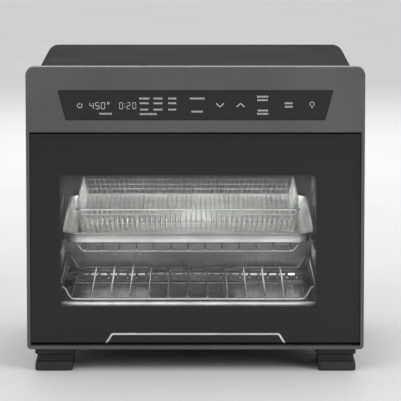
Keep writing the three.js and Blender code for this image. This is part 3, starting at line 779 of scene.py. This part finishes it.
# How far the dots reach into the window from its top, sides and foot.
FRIT_TOP, FRIT_SIDE, FRIT_FOOT = 15.0, 5.5, 2.6
DOT_PITCH, DOT_DEPTH = 3.0, 0.03


def window_frit():
    """The printed dots that fade from the black face into the clear window."""
    (x0, _, z0), (x1, _, z1) = corners("door_window")
    (_, face, _), _ = corners("door_panel")
    u0, u1, v0, v1 = x0 + PANE_LAP, x1 - PANE_LAP, z0 + PANE_LAP, z1 - PANE_LAP
    columns = int((u1 - u0) / DOT_PITCH * 2) + 1
    rows = int((v1 - v0) / DOT_PITCH * 2) + 1

    def dots(bm):
        for row in range(rows):
            for column in range(row % 2, columns, 2):
                u, v = u0 + column * DOT_PITCH / 2, v1 - row * DOT_PITCH / 2
                share = 1 - min((v1 - v) / FRIT_TOP, (u - u0) / FRIT_SIDE, (u1 - u) / FRIT_SIDE,
                                (v - v0) / FRIT_FOOT)
                if share > 0:
                    dot(bm, u, v, DOT_PITCH * (0.14 + 0.3 * share), face - DOT_DEPTH)
    piece("window_dots", meshed("window_dots", dots), "door", FRIT, sharp=20)


def dot(bm, u, v, reach, level):
    """One thin diamond of print on the glass."""
    loft(bm, [[spot("xz", u + reach * a, v + reach * b, y) for a, b in ((1, 0), (0, 1), (-1, 0), (0, -1))]
              for y in (level, level + DOT_DEPTH)])


TRIM_HALF, TRIM_WIDE, TRIM_END, TRIM_CORNER, TRIM_STEP, ROLL_FROM = 98.6, 2.2, 0.9, 3.4, 1.2, 3.2
# Across the line: (share of the way to its middle, distance in front of the door's face).
TRIM_SECTION = ((0, -0.1), (0, 0.15), (0.2, 0.26), (1, 0.3), (0.2, 0.26), (0, 0.15), (0, -0.1))


def door_surface():
    """Tells where the door's face stands at a height: flat above, rolled round the hinge below."""
    (_, face, foot), _ = corners("door_panel")
    hy, hz = hinge_axis()

    def surface(z):
        rolled = hy - sqrt(max((hz - foot) ** 2 - (z - hz) ** 2, 0))
        return rolled if z < hz - ROLL_FROM else face
    return surface


def trim_line():
    """The middle of the bright line, in short steps so that it can follow the rolled foot."""
    (_, _, z0), (x1, _, z1) = corners("trim_outline")
    foot = corners("door_panel")[0].z
    half, top, end = TRIM_HALF, z1 - TRIM_WIDE / 2, foot + TRIM_END
    reach = half + (z1 - end) * (x1 - half) / (z1 - z0)
    line = bend([(-reach, end), (-half - 0.6, top), (half + 0.6, top), (reach, end)], TRIM_CORNER, 8)
    dense = []
    for a, b in zip(line, line[1:]):
        steps = max(1, round((b - a).length / TRIM_STEP))
        dense += [a.lerp(b, i / steps) for i in range(steps)]
    return dense + [line[-1]]


def trim_outline():
    """The bright line inlaid low on the door. Its ends follow the rolled foot."""
    loop = stroke(trim_line(), TRIM_WIDE / 2)
    count = len(loop) // 2
    surface, rings = door_surface(), []
    for a, b in zip(loop[:count], loop[count:][::-1]):
        middle, ring = (a + b) / 2, []
        for i, (share, out) in enumerate(TRIM_SECTION):
            edge = a if i < 3 else b
            place = edge.lerp(middle, share)
            base = surface(edge.y) if share < 1 else (surface(a.y) + surface(b.y)) / 2
            ring.append(Vector((place.x, base - out, place.y)) * MM)
        rings.append(ring)
    mesh = meshed("door_trim", lambda bm: loft(bm, rings))
    piece("door_trim", mesh, "door", TRIM, ["trim_outline"], sharp=50)


def door_grip():
    """A finger lip along the top of the door, rolled forward and flush with the bezel."""
    (x0, y0, z0), (x1, y1, z1) = corners("door_grip")
    section = fillet([(y0, z0), (y0 + 1.8, z0), (y0 + 1.8, z1 - 2), (y1, z1 - 2), (y1, z1), (y0, z1)],
                     [0.8, 0.8, 0.6, 0.05, 0.05, 1.4], 5)
    mesh = meshed("finger_lip", plate([section], x0, x1, "yz"))
    piece("finger_lip", mesh, "door", ENAMEL, ["door_grip"], edge=0.25)


# -- racks, tray and basket
LOWER = {"nodes": ["lower_rack", "lower_rack_side_left", "lower_rack_side_right"], "body": "lower_rack",
         "wires": 11, "pitch": 23.3, "flat": 140.5, "rise": 8, "reach": 154, "stop": 0, "wire": 1.4}
UPPER = {"nodes": ["upper_rack", "upper_rack_stop"], "body": "upper_rack",
         "wires": 13, "pitch": 20.6, "flat": 126, "rise": 6, "reach": 154, "stop": 12.6, "wire": 0.9,
         "rod_start": 58}
OVERHANG, REAR_CROSS = 2.4, 8


def middle_x():
    """The middle of the cavity, which isn't the middle of the oven."""
    low, high = corners("cavity_floor")
    return (low.x + high.x) / 2


def both_ways(half, mid, y):
    """A cross wire from its right half, given outside in as (distance from the middle, height)."""
    return [(mid - u, y, v) for u, v in half] + [(mid + u, y, v) for u, v in half[::-1]]


def wire_rack(name, rack):
    """Cross wires bent up to two side rods, with lengthwise wires welded on top."""
    (_, front, low), (_, rear, _) = corners(rack["nodes"][0])
    side_top = max(corners(node)[1].z for node in rack["nodes"] if "stop" not in node)
    mid, r, stop = middle_x(), rack["wire"], rack["stop"]
    if stop:
        rear = corners("upper_rack_stop")[0].y
        front += 1
    deck, rail = low + r, side_top - r
    front, rear = front + 2 + r, rear - 1
    flat, rise, reach = rack["flat"], rack["rise"], rack["reach"]
    ends = [(reach, rail), (flat + rise, rail - 0.4), (flat, deck)]
    rod_front, crossings = front - 2, [front, (front + rear - REAR_CROSS) / 2, rear - REAR_CROSS]
    lines = []
    if stop:
        rod_front = front + rack["rod_start"]
        crossings[0] = rod_front + 2
        turned_up = [(flat + rise, rail + r), (flat, deck)]
        lines.append(bend(both_ways(turned_up, mid, front), 4, 6))
    for y in crossings:
        carried = stop or y != crossings[1]
        lines.append(bend(both_ways(ends if carried else ends[2:], mid, y), 5, 6))
    rods = [[(mid + s * reach, rod_front, rail), (mid + s * reach, rear, rail)] for s in (-1, 1)]
    level = deck + 1.7 * r
    for i in range(rack["wires"]):
        x = mid + (i - (rack["wires"] - 1) / 2) * rack["pitch"]
        path = [(x, front - OVERHANG, level - 0.3), (x, rear, level)]
        if stop:
            path += [(x, rear + OVERHANG, level + stop)]
        lines.append(bend(path, 3, 6))
    if stop:
        span, z = ((rack["wires"] - 1) / 2) * rack["pitch"] + 4, level + stop
        rods.append([(mid - span, rear + OVERHANG, z), (mid + span, rear + OVERHANG, z)])
    mesh = wires(name, lines + rods, r, 12)
    # The rack's darker wire colour is painted shade in place of dark reflections.
    piece(name, mesh, rack["body"], RACK_WIRE_PAINTED_DARK, rack["nodes"], sharp=60)


def tilted():
    """The tray and basket lean back about the tray's front lower edge."""
    hinge = Vector((0, TRAY["front"], TRAY["bottom"])) * MM
    return Matrix.Translation(hinge) @ Matrix.Rotation(TRAY_LEAN, 4, "X") @ Matrix.Translation(-hinge)


TRAY = {"half": 151.5, "front": -145, "back": 140, "bottom": 146.6, "top": 160.3}
TRAY_LEAN = radians(2)
BASKET = {"half": 136, "front": -125, "back": 150, "bottom": 161, "top": 186, "radius": 6,
          "lean": 7.0, "pitch": 6.3, "wire": 0.45, "dip": 5, "dip_reach": 60, "hoop_pitch": 5.9, "hoops": 4}
LEG_INSET, LEG_REAR, LEG_DROP, LEG_TOP, LEG_FOOT, LEG_WIRE = 30, 36, 12.3, 7, 5, 0.9


def pan_ring(inset, z, radius):
    """The tray's outline at a height, drawn in by an inset."""
    mid = middle_x()
    loop = rectangle(mid - TRAY["half"] + inset, mid + TRAY["half"] - inset,
                     TRAY["front"] + inset, TRAY["back"] - inset, radius, 10)
    return [spot("xy", u, v, z) for u, v in loop]


def baking_tray():
    """A pressed pan: sloping walls, a flat floor with a raised bead, and a rolled rim."""
    z0, z1 = TRAY["bottom"], TRAY["top"]
    outside = [(14, z0, 10), (8, z0 + 0.1, 13), (6.4, z0 + 0.5, 14.5), (5.6, z0 + 1.4, 15.5),
               (5.2, z0 + 2.8, 16), (1.7, z1 - 2, 17), (0.9, z1 - 1.6, 17.5), (0.3, z1 - 1.2, 18)]
    rim = [(0, z1 - 0.7, 18), (0.3, z1 - 0.2, 18), (1.1, z1, 17.5), (2.3, z1 - 0.3, 16.8)]
    inside = [(3.4, z1 - 1.5, 16), (6.4, z0 + 5.6, 15), (7.8, z0 + 3, 14), (9.8, z0 + 1.5, 12.5),
              (13, z0 + 0.9, 10), (20, z0 + 0.9, 8), (21.4, z0 + 1.7, 7.5), (23, z0 + 1.7, 7),
              (24.4, z0 + 0.9, 6.5)]
    rings = [pan_ring(*step) for step in outside + rim + inside]
    mesh = meshed("baking_tray", lambda bm: loft(bm, rings))
    mesh.transform(tilted())
    piece("pan", mesh, "baking_tray", TRAY_STEEL, ["baking_tray"], sharp=60)


def air_fry_basket():
    """A basket of square wire mesh: leaning walls, hoops, a bound rim and four legs.

    Its floor dips towards the front, so that the mesh shows behind the tray's rim.
    """
    b, mid = BASKET, middle_x()
    thin, lean, dip, reach = b["wire"], b["lean"], b["dip"], b["dip_reach"]
    low, high = b["bottom"] + thin, b["top"] - 1.1
    x0, x1 = mid - b["half"] + 1.2, mid + b["half"] - 1.2
    y0, y1 = b["front"] + 1.2, b["back"] - 1.2

    def crosswise(y, pull, foot):
        left, right = x0 + pull, x1 - pull
        z = low - dip * max(0, 1 - (foot - y0 - lean) / reach)
        return [(left, y, high), (left + lean, foot, z), (right - lean, foot, z), (right, y, high)]

    def lengthwise(x, pull, foot):
        front, back, z = y0 + pull, y1 - pull, low + thin
        return [(x, front, high), (foot, front + lean, z - dip), (foot, front + lean + reach, z),
                (foot, back - lean, z), (x, back, high)]
    hoops = []
    for k in range(1, b["hoops"] + 1):
        drop = b["hoop_pitch"] * k
        inset = lean * drop / (high - low) - thin
        loop = rectangle(x0 + inset, x1 - inset, y0 + inset, y1 - inset, b["radius"], 8)
        hoops.append([(u, v, high - drop) for u, v in loop])
    rim = [(u, v, high) for u, v in rectangle(x0, x1, y0, y1, b["radius"], 10)]
    lines = mesh_wires(y0, y1, crosswise) + mesh_wires(x0, x1, lengthwise)
    basket_piece("basket_mesh", lines, thin, replaces=["air_fry_basket"])
    basket_piece("basket_hoops", hoops, thin, closed=True)
    basket_piece("basket_rim", [rim], 1.0, 12, closed=True)
    basket_piece("basket_legs", basket_legs(x0, x1, y0, low), LEG_WIRE)


def basket_piece(name, lines, radius, sides=8, closed=False, replaces=()):
    mesh = wires(name, lines, radius, sides, closed)
    mesh.transform(tilted())
    piece(name, mesh, "air_fry_basket", CHROME, replaces, sharp=70)


def mesh_wires(start, end, path):
    """Wires in steps between two walls. The path draws one from its place, corner pull and foot."""
    lean, lines = BASKET["lean"], []
    for i in range(1, int((end - start) / BASKET["pitch"]) + 1):
        at = start + i * BASKET["pitch"]
        foot = start + lean + (at - start) * (1 - 2 * lean / (end - start))
        lines.append(bend(path(at, corner_pull(at, start, end), foot), 3, 3))
    return lines


def basket_legs(x0, x1, y0, low):
    """Bent wire legs that stand on the tray."""
    top, foot, bottom = LEG_TOP, LEG_FOOT, low - LEG_DROP
    return [bend([(x - top, y, low), (x - foot, y, bottom), (x + foot, y, bottom), (x + top, y, low)],
                   3, 5)
            for x in (x0 + LEG_INSET, x1 - LEG_INSET)
            for y in (y0 + LEG_INSET, TRAY["back"] - LEG_REAR)]


def corner_pull(at, low, high):
    """How far a round corner of the basket draws a wire in from the side at this place along it."""
    radius = BASKET["radius"]
    into = max(radius - min(at - low, high - at), 0)
    return radius - sqrt(max(radius ** 2 - into ** 2, 0))


# -- cavity
# The guard's slots and round holes, the height of its ears and its sheet.
GUARD_PITCH, GUARD_SLOTS, SLOT_HALF, SLOT_LOW, SLOT_HIGH = 12, 25, 4.5, 67.4, 70.2
HOLE_Z, HOLE_RADIUS, EARS, GUARD_SHEET = 64.4, 1.3, 66.2, 1.2


def guard_strip():
    """The perforated guard before the lower rear heater: a row of slots over a row of round holes."""
    (x0, y0, z0), (x1, y1, z1) = corners("rear_vent_strip")
    (c0, _, _), (c1, _, _) = corners("crumb_tray")
    outline = fillet([(c0 + 3, z0), (c1 - 3, z0), (x1, EARS), (x1, z1), (x0, z1), (x0, EARS)],
                     [2, 2, 0.8, 0.3, 0.3, 0.8], 4)
    mid = middle_x()
    centres = [mid + (i - (GUARD_SLOTS - 1) / 2) * GUARD_PITCH for i in range(GUARD_SLOTS)]
    holes = [rectangle(x - SLOT_HALF, x + SLOT_HALF, SLOT_LOW, SLOT_HIGH, 1.35, 5) for x in centres]
    holes += [circle(x + GUARD_PITCH / 2, HOLE_Z, HOLE_RADIUS, 16) for x in centres[:-1]]
    back, under = y0 + GUARD_SHEET, z1 - GUARD_SHEET
    fold = fillet([(y0, z1 - 2), (y0, z1), (y1, z1), (y1, under), (back, under), (back, z1 - 2)],
                  [0, 1.1, 0, 0, 0, 0], 5)
    mesh = meshed("guard_strip", plate([outline, *holes], y0, back))
    mesh = boolean(mesh, "UNION", plate([fold], x0, x1, "yz"))
    piece("guard_strip", mesh, "housing", WALL, ["rear_vent_strip"], edge=0.2)


def heater(node):
    """A sheathed element: necked terminals, a ferrule at each wall and a plain tube between."""
    low, high = corners(node)
    walls = corners("cavity_wall_left")[1].x - low.x
    tube, collar = 4.0, 7.5
    end = [(0, 0), (0, 1.9), (0.5, 2.3), (3.6, 2.3), (4.2, 3.4), (4.8, tube), (walls + 0.3, tube),
           (walls + 0.4, collar - 0.4), (walls + 0.8, collar), (walls + 2.6, collar),
           (walls + 3.2, collar - 0.5), (walls + 3.7, collar - 1.9), (walls + 4.0, tube)]
    span = high.x - low.x
    profile = end + [(span - d, r) for d, r in reversed(end)]
    turned_piece(node.replace("heater", "element"), node, profile, (1, 0, 0), HEATER, 32, 50)


def lamp_and_probe():
    """The lamp's glass dome on the right wall, and the temperature probe on the left one."""
    profile = [(0, 0), (0, 18.6), (0.4, 19), (1.0, 19), (1.4, 18.5), (1.6, 16.2), (2.3, 14.4), (3.0, 11.5),
               (3.5, 7), (3.7, 0)]
    turned_piece("lamp_dome", "lamp_lens", profile, (-1, 0, 0), LAMP, 48)
    profile = [(0, 0), (0, 5.6), (0.4, 6), (1.7, 6), (2.2, 5.4), (2.2, 2.2), (14, 2.2), (16, 2.0),
               (17.2, 1.3), (17.7, 0)]
    turned_piece("probe", "temperature_probe", profile, (1, 0, 0), STEEL, 24)


# -- inner works
KEPT = [
    (WALL, 0.3, ["cavity_wall_left", "cavity_wall_right", "cavity_wall_rear", "cavity_ceiling"]),
    (WALL, 0.5, ["fan_cover"]),
    (FLOOR_STEEL, 0.3, ["cavity_floor", "crumb_tray"]),
    (STEEL, 0.4, ["rack_rail_left", "rack_rail_right", "lamp_housing"]),
    (STEEL, 0.3, ["motor_bracket", "fan_motor", "fan_shaft", "convection_fan", "hinge_pin_left",
                  "hinge_pin_right"]),
    (STEEL, 0.2, ["face_frame"]),
    (PAINT, 0.3, ["base_pan"]),
    (PLASTIC, 0.3, ["cooling_fan", "door_switch_body", "switch_plunger"]),
    (BOARD, 0.2, ["control_board", "power_board"]),
    (RUBBER, 0.8, ["door_gasket"]),
    (LINER, 0.4, ["door_liner"]),
    (GLASS, 0.5, ["door_inner_glass"]),
]


def kept_pieces():
    """The CAD pieces that need no finer shape: their materials and edge widths."""
    for material, edge, nodes in KEPT:
        for node in nodes:
            keep(node, material, edge)


# -- studio
def floor(half=12.0):
    """A plain pale ground, wide enough to fill every view."""
    made = finish("studio_floor", srgb(242, 242, 242), 0.7)
    vary_colour(made, noise(made, 3), srgb(240, 240, 240), srgb(244, 244, 244))
    corner = [(-half, -half, 0), (half, -half, 0), (half, half, 0), (-half, half, 0)]
    mesh = meshed("studio_floor", lambda bm: bm.faces.new([bm.verts.new(place) for place in corner]))
    mesh.materials.append(made)
    ground = bpy.data.objects.new("studio_floor", mesh)
    link(ground)


def lamp(name, kind, direction, power, place=(0, 0, 0)):
    """A light of a kind that shines in a direction."""
    light = bpy.data.lights.new(name, kind)
    light.energy = power
    holder = bpy.data.objects.new(name, light)
    holder.location = place
    holder.rotation_euler = direction.to_track_quat("-Z", "Y").to_euler()
    link(holder)
    return holder


def area_light(name, place, target, width, height, power):
    """A soft panel in metres and watts, hidden from the camera and from view through the glass."""
    holder = lamp(name, "AREA", Vector(target) - Vector(place), power, place)
    holder.data.shape = "RECTANGLE"
    holder.data.size = width
    holder.data.size_y = height
    holder.visible_camera = False
    holder.visible_transmission = False


def sun_light(name, direction, spread, strength):
    """An even light from far away. The spread, in degrees, softens its shadows."""
    lamp(name, "SUN", Vector(direction), strength).data.angle = radians(spread)


def studio_light():
    """A bright even studio: the world, a key from the front left, a fill, a top and a back light."""
    world = bpy.data.worlds.new("studio")
    world.use_nodes = True
    air = world.node_tree.nodes["Background"]
    air.inputs["Color"].default_value = (1, 1, 1, 1)
    air.inputs["Strength"].default_value = 0.42
    bpy.context.scene.world = world
    middle = (0, 0, 0.18)
    sun_light("key", (1.2, 2.4, -2.2), 35, 0.48)
    area_light("fill", (1.8, -2.0, 1.2), middle, 1.4, 1.4, 26)
    sun_light("top", (0, -0.1, -1), 60, 0.65)
    area_light("back", (0, 2.6, 1.6), middle, 2.0, 1.2, 18)


def oven_light():
    """Soft panels in the cavity: at its mouth, ceiling and floor, and behind the guard strip."""
    mid, top = middle_x() * MM, 0.262
    mouth = (corners("cavity_floor")[0].y + 2) * MM
    behind = (corners("rear_vent_strip")[1].y - 1) * MM
    area_light("cavity_front", (mid, mouth, 0.16), (mid, 0.2, 0.15), 0.3, 0.16, 0.17)
    area_light("cavity_top", (mid, mouth + 0.03, top), (mid, 0.155, 0.21), 0.28, 0.02, 0.04)
    area_light("cavity_rear", (mid, 0.125, top), (mid, 0.2, 0.235), 0.28, 0.02, 0.9)
    area_light("cavity_foot", (mid, mouth, 0.067), (mid, -0.1, 0.068), 0.28, 0.016, 0.08)
    area_light("behind_guard", (mid, behind, 0.066), (mid, 0.15, 0.071), 0.26, 0.006, 0.012)
    for name, side in SIDES.items():
        x, inner, outer = side * 0.097 - 0.004, side * 0.06, side * 0.16
        area_light(f"behind_guard_{name}", (x, behind, 0.066), (x, 0.15, 0.071), 0.07, 0.006, 0.08)
        area_light(f"cavity_{name}", (inner, -0.03, top), (outer, -0.03, 0.14), 0.02, 0.2, 0.055)
        area_light(f"cavity_floor_{name}", (x, 0.12, 0.1), (x, 0.02, 0.05), 0.08, 0.02, 0.007)


def camera():
    """Stands where the photo was taken from: in front and a little above."""
    lens = bpy.data.cameras.new("camera")
    lens.sensor_width = 36
    lens.lens = 299.3
    lens.shift_x = 0.0127
    lens.clip_end = 50
    holder = bpy.data.objects.new("camera", lens)
    holder.location = (0, -4.0990, 0.7057)
    holder.rotation_euler = (radians(82.7), 0, 0)
    link(holder)
    bpy.context.scene.camera = holder


# -- the whole oven
front_bezel()
outer_wrap()
back_panel()
feet()
rear_bumpers()
cord_gland()
touch_screen()
screen_marks()
door_skin()
door_glass()
window_frit()
trim_outline()
door_grip()
wire_rack("wire_rack_lower", LOWER)
wire_rack("wire_rack_upper", UPPER)
baking_tray()
air_fry_basket()
guard_strip()
for heater_place in ("lower_front", "upper_front", "lower_rear", "upper_rear"):
    heater(f"heater_{heater_place}")
lamp_and_probe()
kept_pieces()
camera()
floor()
studio_light()
oven_light()
bpy.context.scene.view_settings.view_transform = "Standard"
